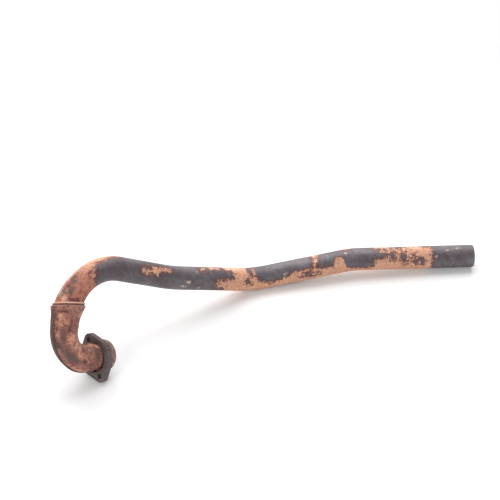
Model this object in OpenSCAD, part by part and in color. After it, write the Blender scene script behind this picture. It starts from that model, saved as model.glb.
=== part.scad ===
// Exhaust header pipe: one bent steel tube with a clamshell elbow jacket,
// a two-bolt port flange and a port collar. Millimetres, +Z up.
// Origin: centre of the flange's gasket side. +X: the way the tail points.
// The pipe lies as it comes to rest on a level floor.

/* [Tube] */
// outside diameter
tube_od = 38.1; // [30:0.1:50]
// sheet thickness
tube_wall = 1.6; // [1:0.1:3]
// straight at the port, up to the elbow
port_run = 43; // [26:1:60]
// straight between elbow and arch
neck_run = 10; // [4:1:30]
// straight below the arch
drop_run = 83; // [30:1:120]
// straight between the first two slight bends
mid_run = 109; // [60:1:200]
// straight between the last two slight bends
rear_run = 127; // [60:1:200]
// straight tail
tail_run = 192; // [100:1:300]

/* [Bends] */
// elbow: turn and centreline radius
elbow_turn = 100; // [60:0.5:120]
elbow_rad = 45; // [42:1:90]
// arch: roll from the elbow's plane, turn and radius
arch_roll = -9.5; // [-60:0.5:60]
arch_turn = 91.5; // [60:0.5:120]
arch_rad = 86; // [60:1:130]
// first slight bend
dip_roll = -138; // [-180:0.5:180]
dip_turn = 9; // [2:0.1:30]
dip_rad = 270; // [80:1:300]
// second slight bend
kick_roll = 20.5; // [-180:0.5:180]
kick_turn = 31; // [2:0.1:40]
kick_rad = 105; // [80:1:300]
// third slight bend
level_roll = 91.5; // [-180:0.5:180]
level_turn = 10.4; // [2:0.1:30]
level_rad = 185; // [80:1:400]

/* [Flange] */
// plate thickness
flange_t = 9.5; // [6:0.5:14]
// metal left between the bore and each stud hole
stud_land = 3.3; // [1.5:0.1:10]
// stud hole diameter
stud_hole = 8.5; // [6:0.1:12]
// radius of each lug's end
lug_r = 10; // [9:0.5:16]
// width of the plate's middle round the bore
plate_wall = 9.05; // [4:0.05:14]
// clearance of the plate's bore round the tube, each side
plate_gap = 2.4; // [0.3:0.1:3]
// clearance left where the loose plate hangs on the tube, and which way it hangs
hang_gap = 0.2; // [0.1:0.05:0.3]
hang_bearing = -172; // [-180:1:180]
// turn of the lugs about the port axis
stud_clock = 157; // [-180:1:180]

/* [Collar] */
// wall round the tube
collar_wall = 4.95; // [3:0.05:9]
// length from the flange to the end
collar_out = 15; // [6:0.5:25]
// bevel at the end
collar_bevel = 1; // [0.2:0.1:3]

/* [Elbow jacket] */
// clearance round the tube, each side
jacket_gap = 0.3; // [0.1:0.1:1]
// sheet thickness
jacket_t = 1.6; // [1:0.1:3]
// length of the flared mouth
mouth_run = 20; // [12:1:40]
// clearance between the tube and the inside of the flared mouth, each side
mouth_gap = 5.65; // [3.5:0.05:10]
// lean of the mouth's line from the tube's own, towards the arch
mouth_off = 0.1; // [-1:0.1:1]
// tilt of its rim from square: about the bend's normal, and about the bend's side
rim_tip = -3; // [-12:0.5:12]
rim_tilt = -6.5; // [-12:0.5:12]
// length of the shoulder that closes the mouth
shoulder_run = 6; // [3:0.5:12]
// clearance between the tube's slanting cut and the shoulder's rim
rim_gap = 1.1; // [0.8:0.05:4]
// height and thickness of the welded seam on each half
seam_h = 1.4; // [0.5:0.1:4]
seam_t = 1.2; // [0.5:0.1:3]

/* [Resting pose] */
// bearing of the port axis from +X
port_bearing = 43.04; // [-180:0.01:180]
// tip of the port axis from straight up
port_tip = 115.03; // [60:0.01:150]
// roll of the pipe about the port axis
port_roll = 160.47; // [-180:0.01:180]

/* [Hidden] */
$fn = 64;
tube_r = tube_od / 2;
bore_r = tube_r - tube_wall;
jacket_in = tube_r + jacket_gap;
jacket_out = jacket_in + jacket_t;
collar_r = tube_r + collar_wall;
plate_bore = tube_r + plate_gap;
plate_r = plate_bore + plate_wall;
stud_space = 2 * (plate_bore + stud_land) + stud_hole;
plate_drop = plate_gap - hang_gap;
mouth_lean = asin((mouth_run + shoulder_run) / (2 * arch_rad)) + mouth_off;
// the rim's plane meets the arch at a slant, which lengthens the tube's half width by 1 / rim_cos
rim_turn = asin((mouth_run + shoulder_run) / arch_rad);
rim_cos = cos(rim_turn - rim_tip) * cos(rim_tilt);
// a bend's sheet starts inside the straight's, thinner by this on each side
lap = 0.3;
thin = 0.02;

RUST = [0.62, 0.38, 0.25];
SOOT = [0.24, 0.21, 0.21];

// ---- frames along the tube ----

// the whole pipe, turned from the port's own frame to the way it lies
module rested() {
  rotate([0, port_tip, port_bearing]) rotate([0, 0, port_roll]) children();
}

// the start of the tube, heading into the flange
module from_port() {
  translate([0, 0, collar_out]) rotate([180, 0, 0]) children();
}

// past a straight run and a roll
module after_run(run, roll = 0) {
  translate([0, 0, run]) rotate([0, 0, roll]) children();
}

// past a bend towards +X
module after_bend(turn, rad) {
  translate([rad * (1 - cos(turn)), 0, rad * sin(turn)]) rotate([0, turn, 0]) children();
}

// ---- tube segments ----

// first and last say which ends are the tube's own
module straight(run, first = false, last = false) {
  a = first ? 0 : lap;
  b = last ? 0 : lap;
  translate([0, 0, -a]) difference() {
    cylinder(r = tube_r, h = run + a + b);
    translate([0, 0, -1]) cylinder(r = bore_r, h = run + a + b + 2);
  }
}

// a sweep towards +X of the 2D shape drawn about the centreline
module bent(turn, rad) {
  translate([rad, 0, 0]) rotate([-90, 0, 0]) rotate([0, 0, 180])
    rotate_extrude(angle = turn) translate([rad, 0]) children();
}

module bend(turn, rad) {
  bent(turn, rad) difference() {
    circle(r = tube_r - thin);
    circle(r = bore_r + thin);
  }
}

module header_pipe() {
  color(RUST) rested() from_port() {
    straight(port_run, first = true);
    after_run(port_run) {
      bend(elbow_turn, elbow_rad);
      after_bend(elbow_turn, elbow_rad) {
        straight(neck_run);
        after_run(neck_run, arch_roll) {
          bend(arch_turn, arch_rad);
          after_bend(arch_turn, arch_rad) {
            straight(drop_run);
            after_run(drop_run, dip_roll) {
              bend(dip_turn, dip_rad);
              after_bend(dip_turn, dip_rad) {
                straight(mid_run);
                after_run(mid_run, kick_roll) {
                  bend(kick_turn, kick_rad);
                  after_bend(kick_turn, kick_rad) {
                    straight(rear_run);
                    after_run(rear_run, level_roll) {
                      bend(level_turn, level_rad);
                      after_bend(level_turn, level_rad) straight(tail_run, last = true);
                    }
                  }
                }
              }
            }
          }
        }
      }
    }
  }
}

// ---- port flange ----

// the plate's outline from the middle circle to both lugs
tan_a = acos((plate_r - lug_r) / (stud_space / 2));
module flange_flanks(h) {
  p = (plate_r - 0.05) * [cos(tan_a), sin(tan_a)];
  l = [stud_space / 2, 0] + (lug_r - 0.05) * [cos(tan_a), sin(tan_a)];
  linear_extrude(height = h) polygon([
    p, l, [l.x, -l.y], [p.x, -p.y], -p, -l, [-l.x, l.y], [-p.x, p.y]
  ]);
}

module port_flange() {
  hang = plate_drop * [cos(hang_bearing), sin(hang_bearing), 0];
  color(SOOT) rested() translate(hang) rotate([0, 0, stud_clock]) translate([0, 0, -flange_t])
    difference() {
      union() {
        cylinder(r = plate_r, h = flange_t);
        flange_flanks(flange_t);
        for (s = [-1, 1]) translate([s * stud_space / 2, 0, 0]) cylinder(r = lug_r, h = flange_t);
      }
      translate([0, 0, -1]) cylinder(r = plate_bore, h = flange_t + 2);
      for (s = [-1, 1]) translate([s * stud_space / 2, 0, -1])
        cylinder(d = stud_hole, h = flange_t + 2);
    }
}

// ---- port collar ----

module port_collar() {
  color(RUST) rested() rotate_extrude() polygon([
    [tube_r, 0],
    [collar_r, 0],
    [collar_r, collar_out - collar_bevel],
    [collar_r - collar_bevel, collar_out],
    [tube_r, collar_out]
  ]);
}

// ---- elbow jacket ----

// the jacket's round shell with its seam, about the tube's centreline
module shell_ring(less = 0) {
  difference() {
    union() {
      circle(r = jacket_out - less);
      square([2 * (jacket_out + seam_h - less), 2 * (seam_t - less)], center = true);
    }
    circle(r = jacket_in + less);
  }
}

module shell_straight(run) {
  linear_extrude(height = run) shell_ring();
}

// the flared mouth and the shoulder that closes it on the tube; its rings are parallel to the
// tilted rim, and each is set over so that their middles stay on the leaning line
module mouth() {
  m = tube_r + mouth_gap + jacket_t;
  b = tube_r / rim_cos + rim_gap + jacket_t;
  h = mouth_run;
  // its foot grips the neck's sheet from the middle out
  g = (jacket_in + jacket_out) / 2 + 0.05;
  over_x = tan(mouth_lean - rim_tip);
  over_y = tan(rim_tilt);
  set_over = [[1, 0, over_x, 0], [0, 1, over_y, 0], [0, 0, 1, 0], [0, 0, 0, 1]];
  rotate([rim_tilt, rim_tip, 0]) multmatrix(set_over) rotate_extrude() polygon([
    [g, -2],
    [g + jacket_t, -2],
    [g + jacket_t, 4],
    [m, h],
    [m - 1, h + 1.2],
    [m - 0.6, h + 2.4],
    [b, h + shoulder_run],
    [b - jacket_t, h + shoulder_run],
    [m - 0.6 - jacket_t, h + 1.8],
    [m - 1 - jacket_t, h + 1.2],
    [m - jacket_t, h],
    [g, 4]
  ]);
}

module jacket() {
  seat = collar_out + flange_t;
  translate([0, 0, seat]) shell_straight(port_run - seat + lap);
  after_run(port_run) {
    bent(elbow_turn, elbow_rad) shell_ring(thin);
    after_bend(elbow_turn, elbow_rad) {
      translate([0, 0, -lap]) shell_straight(neck_run + lap + 2);
      after_run(neck_run, arch_roll) mouth();
    }
  }
}

// one side of the seam's plane: side 1 or -1
module jacket_half(side) {
  color(RUST) rested() from_port() intersection() {
    jacket();
    translate([-60, side > 0 ? 0 : -80, 0]) cube([320, 80, 200]);
  }
}

module jacket_front() {
  jacket_half(1);
}

module jacket_back() {
  jacket_half(-1);
}

header_pipe();
jacket_front();
jacket_back();
port_flange();
port_collar();
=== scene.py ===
from math import radians

import bmesh
import bpy
import numpy as np
from mathutils import Euler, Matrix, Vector


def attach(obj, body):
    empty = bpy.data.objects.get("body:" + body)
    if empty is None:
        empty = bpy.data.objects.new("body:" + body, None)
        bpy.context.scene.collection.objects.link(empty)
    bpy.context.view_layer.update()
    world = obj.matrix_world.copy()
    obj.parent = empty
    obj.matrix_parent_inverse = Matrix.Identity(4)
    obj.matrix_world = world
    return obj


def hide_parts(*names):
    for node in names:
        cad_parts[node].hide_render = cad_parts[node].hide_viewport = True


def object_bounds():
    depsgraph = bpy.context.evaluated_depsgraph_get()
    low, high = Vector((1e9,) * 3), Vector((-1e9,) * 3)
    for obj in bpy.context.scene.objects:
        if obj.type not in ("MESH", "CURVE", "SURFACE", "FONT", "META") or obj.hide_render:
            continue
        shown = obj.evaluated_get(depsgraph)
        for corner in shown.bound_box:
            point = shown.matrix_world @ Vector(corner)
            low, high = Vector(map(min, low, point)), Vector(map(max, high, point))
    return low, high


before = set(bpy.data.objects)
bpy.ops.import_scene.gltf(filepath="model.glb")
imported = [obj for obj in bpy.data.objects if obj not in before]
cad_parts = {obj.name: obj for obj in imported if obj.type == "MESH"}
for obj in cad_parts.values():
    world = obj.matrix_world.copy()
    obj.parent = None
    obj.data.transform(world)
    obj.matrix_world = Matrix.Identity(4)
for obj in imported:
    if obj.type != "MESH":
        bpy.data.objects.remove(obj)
cad_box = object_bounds()

# ---- floor, lamps and camera ----
# A white studio sweep. The pipe lies on it as it comes to rest. One broad lamp hangs above and
# a little behind the pipe, a second and weaker one fills in from the front.
floor_mesh = bpy.data.meshes.new("studio_floor")
floor_mesh.from_pydata(
    [(x, y, cad_box[0].z) for x, y in ((-6, -6), (6, -6), (6, 6), (-6, 6))], [], [(0, 1, 2, 3)]
)
floor = bpy.data.objects.new("studio_floor", floor_mesh)
bpy.context.scene.collection.objects.link(floor)


class Value:
    """A shader socket that takes + - and * with numbers and other sockets.
    Each sign adds the Math node of that name."""

    def __init__(self, look, socket):
        self.look, self.socket = look, socket

    def maths(self, operation, first, second):
        return self.look.node("ShaderNodeMath", {"operation": operation}, {0: first, 1: second})

    def __add__(self, other):
        return self.maths("ADD", self, other)

    def __radd__(self, other):
        return self.maths("ADD", other, self)

    def __sub__(self, other):
        return self.maths("SUBTRACT", self, other)

    def __rsub__(self, other):
        return self.maths("SUBTRACT", other, self)

    def __mul__(self, other):
        return self.maths("MULTIPLY", self, other)

    def __rmul__(self, other):
        return self.maths("MULTIPLY", other, self)


class Look:
    """One material. node() adds any node to it: its type, its settings, then the values or
    links of its sockets; the node's first output, or the named one, comes back as a Value."""

    def __init__(self, name):
        self.material = bpy.data.materials.new(name)
        self.material.use_nodes = True
        self.tree = self.material.node_tree
        self.tree.nodes.clear()

    def node(self, kind, settings=None, sockets=None, output=0):
        made = self.tree.nodes.new(kind)
        for key, value in (settings or {}).items():
            if key == "stops":
                ramp = made.color_ramp
                while len(ramp.elements) < len(value):
                    ramp.elements.new(0.5)
                for element, (place, colour) in zip(ramp.elements, value):
                    element.position, element.color = place, (*colour, 1)
            else:
                setattr(made, key, value)
        for key, value in (sockets or {}).items():
            socket = made.inputs[key]
            if isinstance(value, Value):
                self.tree.links.new(value.socket, socket)
            elif socket.type == "RGBA" and len(value) == 3:
                socket.default_value = (*value, 1)
            else:
                socket.default_value = value
        return Value(self, made.outputs[output]) if len(made.outputs) else made

    def grain(self, scale, detail=3.0, rough=0.55, shift=(0, 0, 0)):
        """Noise of about 1/scale metres, from 0 to 1, fixed to the metal."""
        place = self.node("ShaderNodeTexCoord", output="Object")
        moved = self.node("ShaderNodeMapping", {}, {"Vector": place, "Location": shift})
        return self.node("ShaderNodeTexNoise", {}, {
            "Vector": moved, "Scale": scale, "Detail": detail, "Roughness": rough})

    def rise(self, value, low, high, start=0.0, end=1.0):
        """A smooth rise from start to end as value goes from low to high."""
        return self.node("ShaderNodeMapRange", {"interpolation_type": "SMOOTHSTEP"}, {
            "Value": value, "From Min": low, "From Max": high, "To Min": start, "To Max": end})

    def ramp(self, value, *stops):
        """A colour that runs through stops of (place, colour) as value goes from 0 to 1."""
        return self.node("ShaderNodeValToRGB", {"stops": stops}, {0: value})

    def over(self, share, under, top):
        """Colour top over colour under, by share."""
        return self.node("ShaderNodeMix", {"data_type": "RGBA"}, {0: share, 6: under, 7: top}, 2)

    def finish(self, shader):
        self.node("ShaderNodeOutputMaterial", {}, {"Surface": shader})
        return self.material


paper = Look("studio_white")
seen = paper.node("ShaderNodeLightPath", output="Is Camera Ray")
lit = paper.node("ShaderNodeBsdfDiffuse", {}, {"Color": (0.93, 0.93, 0.93)})
glow = paper.node("ShaderNodeEmission", {}, {"Color": (1, 1, 1), "Strength": 1.0})
# The camera sees a small share of plain white near the pipe, where the floor keeps its shadow,
# and nothing but plain white further off.
NEAR_WHITE, SHADOW_ENDS, ALL_WHITE = 0.16, 0.55, 1.1
reach = paper.node("ShaderNodeVectorMath", {"operation": "DISTANCE"}, {
    0: paper.node("ShaderNodeTexCoord", output="Object"), 1: (0.28, 0.1, cad_box[0].z)}, "Value")
white_share = NEAR_WHITE + (1 - NEAR_WHITE) * paper.rise(reach, SHADOW_ENDS, ALL_WHITE)
floor_mesh.materials.append(paper.finish(
    paper.node("ShaderNodeMixShader", {}, {0: seen * white_share, 1: lit, 2: glow})))

# the camera sees plain white air, and the pipe is lit by a weaker one
world = bpy.data.worlds.new("studio_air")
world.use_nodes = True
bpy.context.scene.world = world
air = world.node_tree
air.nodes["Background"].inputs["Color"].default_value = (1, 1, 1, 1)
air.nodes["Background"].inputs["Strength"].default_value = 0.44
white = air.nodes.new("ShaderNodeBackground")
white.inputs["Color"].default_value = (1, 1, 1, 1)
white.inputs["Strength"].default_value = 1.0
path = air.nodes.new("ShaderNodeLightPath")
share = air.nodes.new("ShaderNodeMixShader")
air.links.new(path.outputs["Is Camera Ray"], share.inputs[0])
air.links.new(air.nodes["Background"].outputs[0], share.inputs[1])
air.links.new(white.outputs[0], share.inputs[2])
air.links.new(share.outputs[0], air.nodes["World Output"].inputs["Surface"])

LAMPS_AIM = Vector((0.25, 0.1, 0.0))
for name, place, size, power in (
    ("lamp_above", Vector((0.22, 1.30, 1.70)), 3.0, 76.0),
    ("lamp_front", Vector((-1.1, -1.3, 1.2)), 1.2, 12.0),
):
    lamp = bpy.data.lights.new(name, "AREA")
    lamp.shape, lamp.size, lamp.energy = "DISK", size, power
    hung = bpy.data.objects.new(name, lamp)
    hung.location = place
    hung.rotation_euler = (LAMPS_AIM - place).to_track_quat("-Z", "Y").to_euler()
    bpy.context.scene.collection.objects.link(hung)

lens = bpy.data.cameras.new("camera")
lens.lens, lens.sensor_width = 89.05, 36.0
lens.clip_start, lens.clip_end = 0.05, 50
camera = bpy.data.objects.new("camera", lens)
camera.location = (0.1264, -1.4453, 1.2453)
# 36.24 degrees down, 4.29 to the right, and rolled by 0.92
facing = Euler((radians(90 - 36.24), 0, radians(-4.29))).to_matrix()
camera.rotation_euler = (facing @ Euler((0, 0, radians(-0.92))).to_matrix()).to_euler()
bpy.context.scene.collection.objects.link(camera)
bpy.context.scene.camera = camera
bpy.context.scene.view_settings.view_transform = "Standard"

# ---- header tube ----
# One length of round steel tube, bent cold on a mandrel and open at both ends. It was painted
# black; heat and weather have taken the paint off in bands and patches, down to orange rust.
TUBE_R, BORE_R = 0.01905, 0.01745
# where the tube starts on the port's axis, the straight up to the elbow and the one past it
PORT_END, TO_ELBOW, NECK = 0.015, 0.043, 0.010
# turn and radius
ELBOW, ARCH = (100.0, 0.045), (91.5, 0.086)
# roll of the arch from the elbow's plane
ARCH_ROLL = -9.5
# from the port's own frame to the way the pipe lies
LYING = np.array(Euler((0, radians(115.03), radians(43.04))).to_matrix()
                 @ Euler((0, 0, radians(160.47))).to_matrix())


def laid(moves, start, step):
    """Runs and bends laid end to end from a point out on the port's axis, heading inwards.
    Each move is a roll about the heading, a bend (turn, radius) and a straight run. On a bend
    the point is radius * sin(t) ahead and radius * (1 - cos(t)) aside of the bend's start, and
    the axes turn by t; on a run it goes straight on. Gives the distance along, the points and
    the axes aside, across and ahead, in the row's frame."""
    axes = LYING @ np.diag([1.0, -1.0, -1.0])
    point = LYING @ np.array([0, 0, start])
    along, points, frames, gone = [], [], [], 0.0
    for roll, turn, radius, run in moves:
        c, s = np.cos(radians(roll)), np.sin(radians(roll))
        axes = axes @ np.array([[c, -s, 0], [s, c, 0], [0, 0, 1]])
        arc = radians(turn) * radius
        if turn:
            t = np.linspace(0, radians(turn), max(3, int(arc / step) + 1))
            zero, one = np.zeros_like(t), np.ones_like(t)
            local = np.stack([radius * (1 - np.cos(t)), zero, radius * np.sin(t)], 1)
            turned = np.stack([
                np.stack([np.cos(t), zero, np.sin(t)], 1),
                np.stack([zero, one, zero], 1),
                np.stack([-np.sin(t), zero, np.cos(t)], 1)], 1)
            along.append(gone + t * radius)
            points.append(point + local @ axes.T)
            frames.append(axes @ turned)
            point, axes, gone = points[-1][-1], frames[-1][-1], gone + arc
        if run:
            d = np.linspace(0, run, max(2, int(run / step) + 1))
            along.append(gone + d)
            points.append(point + d[:, None] * axes[:, 2])
            frames.append(np.repeat(axes[None], len(d), 0))
            point, gone = points[-1][-1], gone + run
    along = np.concatenate(along)
    new = np.concatenate([[True], np.diff(along) > 1e-7])
    return along[new], np.concatenate(points)[new], np.concatenate(frames)[new]


def surface(name, grid, around=True, along=False, lids=()):
    """A grid of points, rows by columns, as a mesh: the cell between two rows and two columns is
    one face. around joins the last column to the first, along joins the last row to the first.
    lids are more faces on the same points."""
    rows, columns = grid.shape[:2]
    index = np.arange(rows * columns).reshape(rows, columns)
    if around:
        index = np.hstack([index, index[:, :1]])
    if along:
        index = np.vstack([index, index[:1]])
    cells = np.stack([index[:-1, :-1], index[:-1, 1:], index[1:, 1:], index[1:, :-1]], -1)
    mesh = bpy.data.meshes.new(name)
    mesh.from_pydata(grid.reshape(-1, 3).tolist(), [], cells.reshape(-1, 4).tolist() + list(lids))
    mesh.polygons.foreach_set("use_smooth", np.ones(len(mesh.polygons), bool))
    made = bpy.data.objects.new(name, mesh)
    bpy.context.scene.collection.objects.link(made)
    return made


def marked(mesh, name, values):
    """Stores one number for each point of the mesh, row by row, under that name."""
    mark = mesh.attributes.new(name, "FLOAT", "POINT")
    mark.data.foreach_set("value", np.ascontiguousarray(values, np.float32).ravel())


ROUTE = [
    (0, 0, 0, TO_ELBOW), (0, *ELBOW, NECK), (ARCH_ROLL, *ARCH, 0.083), (-138, 9, 0.27, 0.109),
    (20.5, 31, 0.105, 0.127), (91.5, 10.4, 0.185, 0.192),
]
tube_along, tube_points, tube_axes = laid(ROUTE, PORT_END, 0.0022)
ahead = tube_axes[:, :, 2]
upward = np.array([0, 0, 1.0]) - ahead[:, 2:3] * ahead
upward /= np.linalg.norm(upward, axis=1)[:, None]
# the clock round the tube: 0 on top, 90 towards -Y where the tube runs along X; it keeps one
# setting over the steep start, where no side is on top
STEEP = 0.150
twist = np.unwrap(np.arctan2((upward * tube_axes[:, :, 1]).sum(1),
                             (upward * tube_axes[:, :, 0]).sum(1)))
twist = np.where(tube_along < STEEP, np.interp(STEEP, tube_along, twist), twist)
RING_STEP = 3.75
clock = np.radians(np.arange(0, 360, RING_STEP))


def ring_rows(rows, radius):
    """Rings of points about the tube's line: each is the row's point, plus radius times the
    cosine of the angle along the aside axis and its sine along the across axis."""
    angle = twist[rows][:, None] + clock[None, :]
    out = (np.cos(angle)[..., None] * tube_axes[rows][:, None, :, 0]
           + np.sin(angle)[..., None] * tube_axes[rows][:, None, :, 1])
    return tube_points[rows][:, None, :] + radius[..., None] * out


def ripple(a, b, seed, waves=9):
    """Slow unevenness from -1 to 1: a sum of sine waves whose directions and phases are drawn
    from the seed, whole numbers of waves round the clock so that it closes."""
    draw = np.random.default_rng(seed)
    total = np.zeros(np.broadcast(a, b).shape)
    for _ in range(waves):
        total += np.sin(draw.uniform(-90, 90) * a + draw.integers(-3, 4) * b + draw.uniform(0, 6.3))
    return total / waves


# the outside's rows, and fewer of them back along the bore
outer = np.arange(len(tube_along))
inner = np.unique(np.concatenate([outer[::5], outer[-1:]]))[::-1]
girth, way = clock[None, :], tube_along[:, None]
# metres: unevenness, and how much an end's edge is worn off; what the rust adds by the jacket,
# hidden up to RUSTED_FROM, whole up to the rim, and gone at SLIM
UNEVEN, EDGE_RUN, EDGE_WORN = 0.00006, 0.0008, 0.0003
RUST_ADDS, RUSTED_FROM, AT_RIM, SLIM = 0.0016, 0.125, 0.158, 0.200
swell = RUST_ADDS * (1 - np.clip((way - AT_RIM) / (SLIM - AT_RIM), 0, 1)) ** 1.5
outside = TUBE_R - UNEVEN + UNEVEN * ripple(way, girth, 4) + swell * (way > RUSTED_FROM)
from_end = np.minimum(tube_along, tube_along[-1] - tube_along)
outside = outside - np.where(from_end < EDGE_RUN, EDGE_WORN, 0)[:, None]
inside = np.full((len(inner), len(clock)), BORE_R)
tube_grid = np.concatenate([ring_rows(outer, outside), ring_rows(inner, inside)])
tube = surface("header_tube", tube_grid, along=True)

# bare places (+1) and paint left on them (-1), in the order they are laid: distance along,
# clock, half length, half width round the tube; millimetres and degrees
WORN = [
    (+1, 100, 0, 106, 400), (+1, 216, -30, 46, 14), (+1, 206, 22, 10, 12), (+1, 222, 2, 14, 6),
    (+1, 306, 52, 9, 6), (+1, 322, 43, 16, 6.5), (+1, 345, 31, 12, 4), (-1, 310, 30, 8, 3),
    (+1, 425, 10, 6, 5), (+1, 449, -3, 10, 4), (+1, 493, 0, 24, 400), (+1, 461, 84, 11, 7),
    (-1, 472, 36, 10, 8), (+1, 529, 10, 2, 14), (+1, 636, -45, 18, 7), (+1, 661, -38, 9, 4),
    (+1, 697, -12, 4, 2), (+1, 642, -15, 7, 6), (+1, 640, 22, 5, 5), (+1, 638, 45, 4, 5),
    (+1, 791, 0, 49, 400), (-1, 750, 22, 12, 11), (+1, 757, 8, 7, 4), (-1, 773, 45, 4.5, 8),
    (-1, 791, 50, 5, 8), (-1, 810, 62, 4, 6), (-1, 821, 75, 6, 5.5), (-1, 785, -15, 13, 5),
    (-1, 832, -28, 13, 6), (+1, 275, -120, 24, 11), (+1, 372, -150, 34, 12), (+1, 415, 175, 22, 8),
    (+1, 575, -110, 30, 9), (+1, 712, -130, 18, 10), (-1, 490, -120, 14, 9), (-1, 800, -110, 16, 12),
]
# the tube's underside is bare below this line: distance along and clock
UNDERSIDE = ((505, 36), (530, 42), (538, 68), (550, 82), (565, 84), (590, 72), (603, 56), (632, 55),
             (653, 68), (670, 70), (673, 28), (688, 28), (691, 93), (721, 108), (745, 98))
# it runs between these distances, and round as far as this clock
UNDER_STARTS, UNDER_ENDS, UNDER_ROUND = 500, 760, 235
# paint left on the underside, as the places above
LEFT_BELOW = [
    (+1, 625, 84, 6.5, 4.5), (+1, 613, 92, 2, 1.5), (+1, 638, 94, 3, 1.5), (+1, 512, 62, 3, 2.5),
    (+1, 516, 76, 4, 3), (+1, 596, 180, 14, 9),
]
# the depth of a point that no place reaches
NONE = -12.0


def bare_depth(along, turn, worn):
    """How deep a point lies in a bare place, in mm, and below 0 under paint. Each place is a
    soft-cornered oval: its depth is the smaller half size times 1 minus the 2.6-power distance
    from its middle; a bare place keeps the greater depth, a painted one the lesser."""
    depth = np.full(np.broadcast(along, turn).shape, NONE)
    for kind, middle, hour, half, width in worn:
        aside = np.radians((turn - hour + 180) % 360 - 180) * TUBE_R * 1000
        away = (np.abs((along - middle) / half) ** 2.6 + np.abs(aside / width) ** 2.6) ** (1 / 2.6)
        reach = min(half, width) * (1 - away)
        depth = np.maximum(depth, reach) if kind > 0 else np.minimum(depth, -reach)
    return depth


mm, hours = way * 1000, np.degrees(girth) + 0 * way
bare = bare_depth(mm, hours, WORN)
line = np.interp(mm, *np.array(UNDERSIDE).T)
below = np.radians(np.minimum(hours - line, UNDER_ROUND - hours)) * TUBE_R * 1000
below = np.minimum(below, np.minimum(mm - UNDER_STARTS, UNDER_ENDS - mm))
bare = np.minimum(np.maximum(bare, below), -bare_depth(mm, hours, LEFT_BELOW))
# grey smudges, dark red scabs, pale rust with painted highlights along the top edge, and pale
# flecks on the paint, as the places above
SPOTS = {
    "smudge": [
        (+1, 190, -10, 7, 4), (+1, 181, 8, 8, 3.5), (+1, 171, 16, 8, 4.5), (+1, 168, -18, 7, 4),
        (+1, 178, -70, 14, 8), (+1, 150, 150, 12, 10), (+1, 186, 160, 10, 6)],
    "wine": [
        (+1, 176, -4, 5, 3), (+1, 160, 40, 4, 10), (+1, 163, 60, 4, 5), (+1, 225, 8, 3.5, 2.5),
        (+1, 208, 34, 6, 3), (+1, 196, -110, 10, 7), (+1, 168, 120, 7, 8)],
    # pale rust on the arch, and long narrow strips near the top that are painted highlights along
    # the top edge
    "cream": [
        (+1, 159, 5, 4, 6), (+1, 166, -28, 6, 6), (+1, 196, -32, 22, 4), (+1, 161, 75, 5, 4),
        (+1, 620, -34, 44, 6), (+1, 350, 14, 12, 4), (+1, 482, -12, 26, 8),
        (+1, 790, -18, 46, 7), (+1, 436, 2, 12, 5), (+1, 642, 10, 5, 6)],
    "flecks": [
        (+1, 394, 80, 4.5, 2.6), (+1, 389, 104, 5, 1.6), (+1, 412, 27, 1.5, 1.2),
        (+1, 419, 112, 1.5, 2), (+1, 586, 60, 2.5, 1.6), (+1, 694, 15, 2, 2.4),
        (+1, 866, 20, 3, 1.2), (+1, 884, 8, 3.5, 1.2), (+1, 846, 52, 2, 1.4)],
}
# paint and rust are mixed finely over this length
mottled = np.clip((mm - 738) / 12, 0, 1) * np.clip((846 - mm) / 8, 0, 1) + 0 * hours
# each mark on the outside, and its value on the lining
marks = {"bare": (bare, 5.0), "mottled": (mottled, 0.0), "along": (mm + 0 * hours, mm[inner]),
         "lining": (0 * bare, 1.0)}
marks.update({name: (bare_depth(mm, hours, spots), NONE) for name, spots in SPOTS.items()})
lining = np.zeros((len(inner), len(clock)))
for name, (values, within) in marks.items():
    marked(tube.data, name, np.concatenate([values, lining + within]))

skin = Look("weathered_tube")
mark = {n: skin.node("ShaderNodeAttribute", {"attribute_name": n}, {}, "Fac") for n in marks}
broad, patchy = skin.grain(28), skin.grain(170, 4, 0.6)
fine, pits = skin.grain(620, 3, 0.6), skin.grain(1500, 2)
# noise that frets the edges of the bare places
ragged = (skin.grain(240, 3, 0.6, (0.3, 0.1, 0.2)) - 0.5) * 20.0
ragged = ragged + (patchy - 0.5) * (12.0 + mark["mottled"] * 10.0)
ragged = ragged + (fine - 0.5) * (12.0 + mark["mottled"] * 6.0)
depth = mark["bare"] + ragged
is_bare = skin.rise(depth, -0.3, 0.3)
port_side = skin.rise(mark["along"], 190, 225, 1, 0)
rust = skin.ramp(patchy * 0.45 + fine * 0.55,
                 (0.28, (0.33, 0.12, 0.065)), (0.42, (0.58, 0.285, 0.175)),
                 (0.55, (0.69, 0.375, 0.245)), (0.68, (0.82, 0.54, 0.36)))
# darker and redder where the port's heat burnt it
burnt = skin.ramp(patchy * 0.5 + fine * 0.2 + broad * 0.3,
                  (0.34, (0.18, 0.056, 0.042)), (0.44, (0.35, 0.125, 0.082)),
                  (0.55, (0.48, 0.200, 0.138)), (0.68, (0.62, 0.32, 0.22)))
rust = skin.over(port_side, rust, burnt)
streaks = skin.node("ShaderNodeTexNoise", {}, {
    "Vector": skin.node("ShaderNodeMapping", {}, {
        "Vector": skin.node("ShaderNodeTexCoord", output="Object"), "Scale": (1.0, 0.55, 0.25)}),
    "Scale": 520.0, "Detail": 3.0})
rust = skin.over(skin.rise(streaks, 0.52, 0.66) * port_side * 0.5, rust, (0.30, 0.085, 0.05))
rust = skin.over(skin.rise(pits, 0.57, 0.68) * 0.7, rust, (0.20, 0.055, 0.035))
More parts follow.
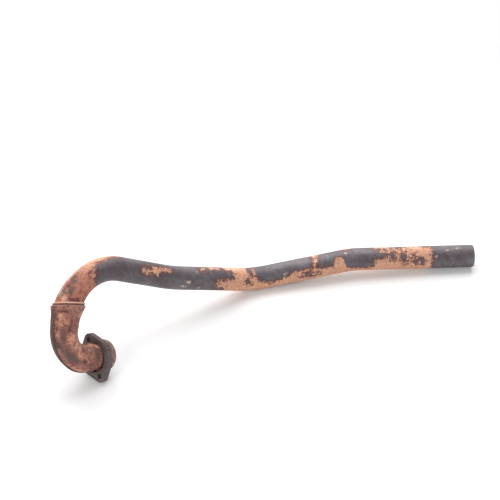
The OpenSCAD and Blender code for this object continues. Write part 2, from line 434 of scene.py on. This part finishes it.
# dark red rims just inside the bare places, here and there
rim = skin.rise(depth, 0.3, 4.5, 0.95, 0.0) * skin.rise(patchy * 0.5 + broad * 0.5, 0.41, 0.53)
rust = skin.over(rim, rust, (0.14, 0.040, 0.034))
specks = skin.rise(skin.grain(360, 2, 0.5, (0.7, 0.2, 0.5)), 0.62, 0.68)
rust = skin.over(specks * 0.75, rust, (0.15, 0.040, 0.036))
# pale rust, and painted highlights along the tube's top edge
rust = skin.over(skin.rise(mark["cream"] + (patchy - 0.5) * 12, -1, 3) * 0.75, rust,
                 (0.72, 0.46, 0.32))
rust = skin.over(skin.rise(mark["smudge"] + (patchy - 0.5) * 18, -2, 3.5) * 0.88, rust,
                 (0.066, 0.060, 0.057))
scab = mark["wine"] + (fine - 0.5) * 16 + (patchy - 0.5) * 12
rust = skin.over(skin.rise(scab, -0.3, 1.4) * 0.92, rust, (0.125, 0.028, 0.036))
paint = skin.ramp(broad * 0.55 + patchy * 0.45,
                  (0.38, (0.062, 0.042, 0.048)), (0.5, (0.084, 0.065, 0.074)),
                  (0.61, (0.125, 0.108, 0.122)))
paint = skin.over(skin.rise(patchy * 0.5 + fine * 0.5, 0.56, 0.66) * 0.4, paint,
                  (0.12, 0.062, 0.060))
paint = skin.over(skin.rise(pits, 0.60, 0.70) * 0.45, paint, (0.035, 0.022, 0.026))
paint = skin.over(skin.rise(fine, 0.64, 0.74) * 0.4, paint, (0.22, 0.165, 0.16))
# greyer towards the tail
faded = skin.rise(patchy * 0.5 + broad * 0.5, 0.38, 0.62, 0.16, 0.5)
paint = skin.over(skin.rise(mark["along"], 250, 620) * faded, paint, (0.20, 0.18, 0.20))
# rust creeping under the paint's edge
creep = skin.rise(patchy * 0.4 + broad * 0.6, 0.38, 0.5, 0.35, 0.9)
paint = skin.over(skin.rise(depth, -5.0, -1.2) * creep, paint, (0.105, 0.036, 0.035))
paint = skin.over(skin.rise(mark["flecks"] + (fine - 0.5) * 14, -0.3, 1.2) * 0.85, paint,
                  (0.68, 0.51, 0.42))
colour = skin.over(is_bare, paint, rust)
# soot in the bore
sooty = skin.ramp(patchy, (0.35, (0.02, 0.015, 0.013)), (0.7, (0.07, 0.04, 0.028)))
colour = skin.over(mark["lining"], colour, sooty)
height = is_bare * -0.00016 + fine * 0.00010 * is_bare + pits * 0.00006
bump = skin.node("ShaderNodeBump", {}, {"Height": height, "Strength": 0.9, "Distance": 1.0})
rough = skin.node("ShaderNodeMix", {"data_type": "FLOAT"}, {
    0: is_bare, 2: 0.42 + patchy * 0.16, 3: 0.66 + fine * 0.2})
tube.data.materials.append(skin.finish(skin.node("ShaderNodeBsdfPrincipled", {}, {
    "Base Color": colour, "Roughness": rough, "Normal": bump})))
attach(tube, "root")
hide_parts("header_pipe")

# ---- elbow jacket ----
# Two stamped sheet halves closed round the elbow and welded along a seam on the inside and the
# outside of the bend. The upper end is flared, and its edge is turned in to a rim on the tube.

# metres: from the tube's start to the flange's back, and from the neck to the rim
FLANGE_BACK, MOUTH = 0.0245, 0.026
# degrees: the rim's tilts from square, and the lean of the mouth's line from the rim's
RIM_TIP, RIM_TILT, MOUTH_LEAN = -3, -6.5, 11.8
JACKET_ROUTE = [(0, 0, 0, TO_ELBOW - FLANGE_BACK), (0, *ELBOW, NECK + MOUTH)]
jacket_along, jacket_points, jacket_axes = laid(JACKET_ROUTE, PORT_END - FLANGE_BACK, 0.0008)
past_neck = jacket_along - jacket_along[-1] + MOUTH
neck_axes = jacket_axes[-1]
neck_point = jacket_points[-1] - MOUTH * neck_axes[:, 2]
# the mouth's rings are tilted from square and set over along its leaning line
tilted = np.array(Euler((0, 0, radians(ARCH_ROLL))).to_matrix()
                  @ Euler((0, radians(RIM_TIP), 0)).to_matrix()
                  @ Euler((radians(RIM_TILT), 0, 0)).to_matrix())
set_over = neck_axes @ tilted @ np.array([
    np.tan(radians(MOUTH_LEAN)), np.tan(radians(RIM_TILT)), 1])
rolled_back = np.array(Euler((0, 0, radians(-ARCH_ROLL))).to_matrix())
# the square rings give way to the tilted ones from 10 mm below the neck to 3 mm above it
share = np.clip((past_neck + 0.010) / 0.013, 0, 1)
share = (share * share * (3 - 2 * share))[:, None]
jacket_points = (1 - share) * jacket_points + share * (neck_point + past_neck[:, None] * set_over)
jacket_axes = ((1 - share[..., None]) * jacket_axes
               + share[..., None] * (neck_axes @ tilted @ rolled_back))
jacket_axes = jacket_axes / np.linalg.norm(jacket_axes, axis=1)[:, None, :]
# millimetres: sheet, seam lip, the least radius that clears the tube, the body's outside, its
# set towards the inside of the bend and how much fuller it is there by the neck
SHEET, SEAM_H, CLEAR_R, BODY_R, SET_IN, FULLER = 1.6, 1.4, 19.2, 20.45, 0.6, 1.7
# outside radius by millimetres past the neck: body, flare, turned edge, groove and rim
FLARE = (
    (-60, BODY_R), (-14, BODY_R), (-7, 20.7), (0, 21.3), (6, 22.4), (12, 23.8), (17, 25.3),
    (19.6, 26.1), (20.4, 26.2), (20.9, 25.5), (21.4, 24.2), (22.2, 23.5), (22.9, 23.5),
    (23.5, 24.1), (24.2, 24.4), (25.1, 24.3), (25.7, 23.8), (26, 22.9),
)
profile = np.interp(past_neck * 1000, *np.array(FLARE).T)
# stains on the sheet, with painted highlights and painted shade among them: millimetres past
# the neck, clock, half length, half width
JACKET_MARKS = {
    "smoke": [
        (+1, -35, 211, 9, 4), (+1, -45, 226, 11, 5), (+1, -55, 238, 9, 4), (+1, -22, 224, 8, 3),
        (+1, -96, 285, 5, 9), (+1, -8, 330, 8, 4), (+1, -60, 120, 16, 8), (+1, -20, 60, 12, 7)],
    # dark red scabs; the wide thin one at 11.8 mm and 214 is painted shade in the dent under the rim
    "scab": [
        (+1, 0, 197, 2.5, 2), (+1, -5, 230, 2.5, 2.5), (+1, -13, 196, 3, 2), (+1, -30, 196, 4, 3),
        (+1, 11.8, 214, 2.1, 8), (+1, -70, 256, 4, 3), (+1, -60, 300, 5, 2), (+1, -12, 250, 4, 2),
        (+1, -82, 330, 8, 2), (+1, -40, 90, 6, 5)],
    # a dark band along the outer seam: partly the dark joint, partly painted shade on the seam's
    # side
    "seam": [(+1, -48, 167, 66, 7)],
    # pale orange painted highlights where the sheet is lit
    "tan": [
        (+1, 4, 206, 9, 4), (+1, -15, 199, 9, 3), (+1, -5, 214, 5, 4), (+1, -27, 243, 5, 4),
        (+1, -25, 266, 7, 6), (+1, -88, 341, 13, 5), (+1, -101, 331, 4, 5), (+1, -42, 279, 11, 5),
        (+1, -62, 268, 10, 3), (+1, -74, 206, 12, 4), (+1, 10, 292, 5, 5), (+1, -30, 120, 14, 6)],
}
# dents: millimetres past the neck, clock, half length, half width in radians, depth
DENTS = (
    (13.5, 212, 2.6, 0.42, 0.9), (-4, 232, 7, 0.30, 0.7), (-22, 205, 9, 0.35, 0.5),
    (-50, 238, 12, 0.30, 0.6), (-62, 300, 9, 0.35, 0.5), (-30, 100, 10, 0.4, 0.6),
    (4, 60, 6, 0.5, 0.6),
)
# one lip of the seam: distance from the parting plane, and share of its height
SEAM_LIP = np.array([(0.05, 1.0), (0.75, 1.0), (1.1, 0.8), (1.25, 0.35)])


def jacket_half(name, side):
    """A closed C-shaped profile carried along the elbow's line. Its outer arc runs from the seam
    inside the bend to the seam outside it and ends in a low lip on each; the inner arc comes
    back one sheet thickness further in. Dents are soft hollows taken off the outer radius; the
    body is set a little towards the inside of the bend, and is fuller there by the neck."""
    arc = np.radians(np.linspace(4.2, 175.8, 73))
    a, b = past_neck[:, None] * 1000, arc[None, :] * side
    base = profile[:, None]
    # 1 on the body and the flare, 0 at the turned edge and the rim
    hold = 1 / (1 + np.exp((a - 16) / 2.0))
    body = base + SET_IN * np.cos(b) * hold * np.clip((75 + a) / 20, 0, 1)
    body = body + FULLER * np.exp(-((a + 8) / 13) ** 2) * np.clip(np.cos(b), 0, 1) ** 1.5
    uneven = 0.16 * ripple(a / 1000, b, 11) + 0.10 * ripple(a / 300, b * 2, 12) - 0.1
    body = body + uneven * np.clip(hold + 0.3, 0, 1)
    for middle, turn, long, wide, deep in DENTS:
        away = np.angle(np.exp(1j * (b - radians(turn))))
        body = body - deep * np.exp(-((a - middle) / long) ** 2 - (away / wide) ** 2)
    ends = np.stack([body[:, 0], body[:, -1]], 1)
    inner = np.maximum(base - SHEET + 0 * arc, CLEAR_R)
    near, far = (ends[:, i:i + 1] + SEAM_H * SEAM_LIP[None, :, 1] for i in (0, 1))
    high = 0 * near + SEAM_LIP[None, :, 0]
    low = inner[:, :1]
    # in order: inner edge, lip, outer arc, lip, inner edge, and back along the inside
    x = np.concatenate([
        low, near, body * np.cos(arc), -far[:, ::-1], -low,
        -low, -low + 0 * far, inner * np.cos(arc[::-1]), low + 0 * near, low], 1)
    y = np.concatenate([
        0 * low + 0.05, high, body * np.sin(arc), high[:, ::-1], 0 * low + 0.05, 0 * low + 0.1,
        0 * far + 0.15, inner * np.sin(arc[::-1]), 0 * near + 0.15, 0 * low + 0.1], 1)
    grid = (jacket_points[:, None, :] + x[..., None] / 1000 * jacket_axes[:, None, :, 0]
            + side * y[..., None] / 1000 * jacket_axes[:, None, :, 1])
    rows, columns = x.shape
    # each end is closed by a strip between the profile's outer and inner lines
    step = np.arange(columns // 2 - 1)
    strip = np.stack([step, columns - 1 - step, columns - 2 - step, step + 1], 1)
    lids = strip.tolist() + (strip[:, ::-1] + (rows - 1) * columns).tolist()
    made = surface(name, grid, lids=lids)
    hour = np.degrees(np.arctan2(side * y, x)) % 360
    for mark_name, values in JACKET_MARKS.items():
        marked(made.data, mark_name, bare_depth(a + 0 * x, hour, values))
    marked(made.data, "past_neck", a + 0 * x)
    shape = bmesh.new()
    shape.from_mesh(made.data)
    bmesh.ops.remove_doubles(shape, verts=shape.verts, dist=1e-6)
    bmesh.ops.recalc_face_normals(shape, faces=shape.faces)
    shape.to_mesh(made.data)
    shape.free()
    made.data.set_sharp_from_angle(angle=radians(50))
    return made


for name, side, node, tones in (
    ("jacket_near", -1, "jacket_back", (
        (0.13, 0.042, 0.036), (0.24, 0.090, 0.070), (0.34, 0.138, 0.104), (0.41, 0.180, 0.130),
        (0.60, 0.32, 0.215))),
    # the far half's tones are the near half's made about a quarter darker: painted shade on that
    # side
    ("jacket_far", 1, "jacket_front", (
        (0.09, 0.036, 0.030), (0.17, 0.070, 0.054), (0.24, 0.104, 0.078), (0.31, 0.142, 0.104),
        (0.45, 0.24, 0.165))),
):
    half = jacket_half(name, side)
    sheet = Look(name + "_rust")
    mark = {n: sheet.node("ShaderNodeAttribute", {"attribute_name": n}, {}, "Fac")
            for n in (*JACKET_MARKS, "past_neck")}
    broad, patchy = sheet.grain(55, 3), sheet.grain(150, 4, 0.7)
    fine, pits = sheet.grain(480, 3), sheet.grain(1100, 2)
    specks = sheet.grain(340, 2, 0.5, (0.4, 0.1, 0.9))
    # painted shade in the groove under the rim, and a painted highlight along the rim's turned edge
    # above it
    groove_shade = sheet.rise(mark["past_neck"], 20.6, 21.4) * sheet.rise(mark["past_neck"], 23.6, 23)
    lip = sheet.rise(mark["past_neck"], 23.2, 23.8) * sheet.rise(fine, 0.35, 0.5, 0.5, 0.85)
    # painted shade on the jacket's end where it meets the flange
    shade_by_flange = mark["past_neck"] + (patchy - 0.5) * 5
    scab = mark["scab"] + (fine - 0.5) * 9 + (patchy - 0.5) * 6
    colour = sheet.ramp(broad * 0.38 + patchy * 0.37 + fine * 0.25,
                        *zip((0.39, 0.45, 0.5, 0.55, 0.62), tones))
    for cover, stain_and_painted_light in (
        # painted highlights in pale orange
        (sheet.rise(mark["tan"] + (patchy - 0.5) * 26, -2, 5) * 0.8, (0.72, 0.345, 0.205)),
        (sheet.rise(mark["smoke"] + (patchy - 0.5) * 16, -3, 3) * 0.88, (0.105, 0.066, 0.060)),
        (sheet.rise(scab, -0.4, 0.8) * 0.85, (0.080, 0.022, 0.020)),
        (sheet.rise(pits, 0.57, 0.67) * 0.7, (0.10, 0.028, 0.024)),
        (sheet.rise(specks, 0.60, 0.66) * 0.8, (0.095, 0.028, 0.026)),
        # dark joint along the outer seam, partly painted shade
        (sheet.rise(mark["seam"] + (fine - 0.5) * 8, -1.5, 1.5) * 0.8, (0.060, 0.032, 0.026)),
        # painted shade in the groove, then painted highlight on the rim
        (groove_shade * 0.85, (0.085, 0.034, 0.030)),
        (lip, (0.66, 0.39, 0.29)),
        # painted shade at the flange
        (sheet.rise(shade_by_flange, -108, -102, 0.8, 0), (0.035, 0.024, 0.022)),
    ):
        colour = sheet.over(cover, colour, stain_and_painted_light)
    height = fine * 0.00020 + patchy * 0.00045 + pits * 0.00005
    bump = sheet.node("ShaderNodeBump", {}, {"Height": height, "Strength": 1.0, "Distance": 1.0})
    half.data.materials.append(sheet.finish(sheet.node("ShaderNodeBsdfPrincipled", {}, {
        "Base Color": colour, "Roughness": 0.58 + fine * 0.22, "Normal": bump})))
    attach(half, "root")
    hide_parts(node)

# ---- port flange ----
# A thick oval plate with two stud holes, cut or cast, loose on the tube behind the collar. Its
# edges are worn round and it is dark with baked dirt.
plate = bpy.data.objects.new("flange_plate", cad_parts["port_flange"].data.copy())
plate.data.materials.clear()
bpy.context.scene.collection.objects.link(plate)
shape = bmesh.new()
shape.from_mesh(plate.data)
bmesh.ops.remove_doubles(shape, verts=shape.verts, dist=1e-5)
bmesh.ops.dissolve_limit(shape, angle_limit=radians(1), verts=shape.verts, edges=shape.edges)
shape.to_mesh(plate.data)
shape.free()
worn_edge = plate.modifiers.new("worn_edge", "BEVEL")
worn_edge.width, worn_edge.segments, worn_edge.limit_method = 0.0012, 3, "ANGLE"
worn_edge.angle_limit = radians(40)
plate.data.polygons.foreach_set("use_smooth", np.ones(len(plate.data.polygons), bool))
plate.data.set_sharp_from_angle(angle=radians(50))
dirt = Look("dark_plate")
broad, patchy, fine = dirt.grain(70, 3), dirt.grain(260, 4, 0.6), dirt.grain(900, 3)
colour = dirt.ramp(broad * 0.4 + patchy * 0.6,
                   (0.35, (0.066, 0.046, 0.046)), (0.5, (0.105, 0.076, 0.076)),
                   (0.66, (0.19, 0.145, 0.14)))
colour = dirt.over(dirt.rise(fine, 0.60, 0.70) * 0.5, colour, (0.26, 0.17, 0.15))
colour = dirt.over(dirt.rise(patchy * 0.6 + broad * 0.4, 0.54, 0.62) * 0.35, colour,
                   (0.20, 0.10, 0.075))
height = patchy * 0.0004 + fine * 0.0001
bump = dirt.node("ShaderNodeBump", {}, {"Height": height, "Strength": 0.9, "Distance": 1.0})
plate.data.materials.append(dirt.finish(dirt.node("ShaderNodeBsdfPrincipled", {}, {
    "Base Color": colour, "Roughness": 0.55 + patchy * 0.25, "Normal": bump})))
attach(plate, "root")
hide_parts("port_flange")

# ---- port collar ----
# A short turned ring welded on the tube's end. It stops the flange and enters the port; its
# end is crusted with rust and pale scale.

# its section: radius and distance out from the flange, in millimetres
SECTION = np.array([
    (19.2, 0.1), (23.9, 0.1), (23.95, 1.5), (24.0, 3.0), (23.8, 6.0), (23.9, 10.0), (24.0, 13.0),
    (23.7, 14.3), (22.8, 14.9), (21.2, 14.95), (19.4, 14.9), (19.2, 14.3),
]) / 1000
# metres of unevenness
ROUGH = 0.00012
radius, out = SECTION[:, :1], SECTION[:, 1:]
ring_r = radius + ROUGH * ripple(out * 2, clock[None, :], 21) - ROUGH
ring = np.stack([ring_r * np.cos(clock), ring_r * np.sin(clock), out + 0 * ring_r], -1)
collar = surface("end_collar", ring @ LYING.T, along=True)
marked(collar.data, "out", out * 1000 + 0 * ring_r)
shape = bmesh.new()
shape.from_mesh(collar.data)
bmesh.ops.recalc_face_normals(shape, faces=shape.faces)
shape.to_mesh(collar.data)
shape.free()
crust = Look("rusted_ring")
broad, patchy, fine = crust.grain(90, 3), crust.grain(300, 4, 0.6), crust.grain(900, 3)
colour = crust.ramp(broad * 0.4 + patchy * 0.6,
                    (0.35, (0.13, 0.070, 0.066)), (0.52, (0.25, 0.145, 0.130)),
                    (0.66, (0.38, 0.225, 0.19)), (0.8, (0.55, 0.38, 0.29)))
# pale scale towards the end
from_plate = crust.node("ShaderNodeAttribute", {"attribute_name": "out"}, {}, "Fac")
scaled = crust.rise(from_plate, 6.5, 11.5)
scaled = scaled * crust.rise(patchy * 0.6 + fine * 0.4, 0.53, 0.58) * 0.8
colour = crust.over(scaled, colour, (0.72, 0.57, 0.40))
height = patchy * 0.0004 + fine * 0.0001
bump = crust.node("ShaderNodeBump", {}, {"Height": height, "Strength": 0.9, "Distance": 1.0})
collar.data.materials.append(crust.finish(crust.node("ShaderNodeBsdfPrincipled", {}, {
    "Base Color": colour, "Roughness": 0.65 + fine * 0.2, "Normal": bump})))
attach(collar, "root")
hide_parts("port_collar")
